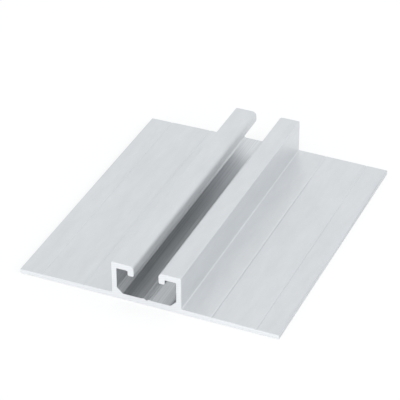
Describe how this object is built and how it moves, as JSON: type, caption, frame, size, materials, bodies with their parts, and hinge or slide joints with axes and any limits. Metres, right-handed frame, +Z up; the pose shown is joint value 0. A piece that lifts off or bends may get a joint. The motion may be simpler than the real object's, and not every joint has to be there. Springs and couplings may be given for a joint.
{
  "type": "aluminium mounting rail profile",
  "caption": "Extruded aluminium rail profile: flat base with drill lines and an open T-slot channel with inturned lips.",
  "frame": {"origin": "middle of the underside, at half the length and half the width", "axes": "+X across the base, +Y along the extrusion, +Z up through the open channel"},
  "size_m": [0.1, 0.114, 0.0153],
  "materials": {
    "rail_aluminium": "satin mill finish with fine die lines along the length; sawn ends"
  },
  "bodies": {
    "root": {"mounting_rail": "rail_aluminium"}
  },
  "joints": []
}
